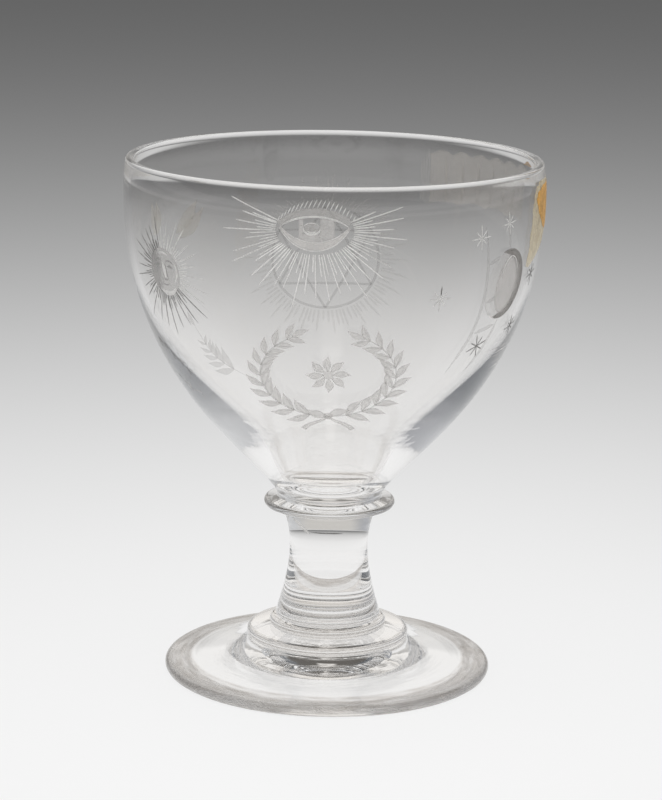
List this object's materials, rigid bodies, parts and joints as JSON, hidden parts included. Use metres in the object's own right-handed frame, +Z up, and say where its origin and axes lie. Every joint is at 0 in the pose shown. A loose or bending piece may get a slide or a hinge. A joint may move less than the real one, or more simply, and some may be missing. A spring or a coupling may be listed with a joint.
{
  "type": "rummer",
  "caption": "Clear drinking glass: ovoid bowl on a collar, short waisted stem and stepped round foot, with frosted engraving round the bowl.",
  "frame": {"origin": "centre of the foot's underside, on the plane that it rests on", "axes": "+Z up along the glass's axis; -Y faces the side with the engraved eye"},
  "size_m": [0.1112, 0.1112, 0.14],
  "materials": {
    "clear_glass": "clear, fire polished",
    "frosted_engraving": "wheel cut, matt white",
    "dry_residue": "dried amber film, cream at its border"
  },
  "bodies": {
    "root": {"foot": "clear_glass", "lower_step": "clear_glass", "upper_step": "clear_glass", "stem": "clear_glass", "collar": "clear_glass", "bowl": "clear_glass"}
  },
  "joints": []
}
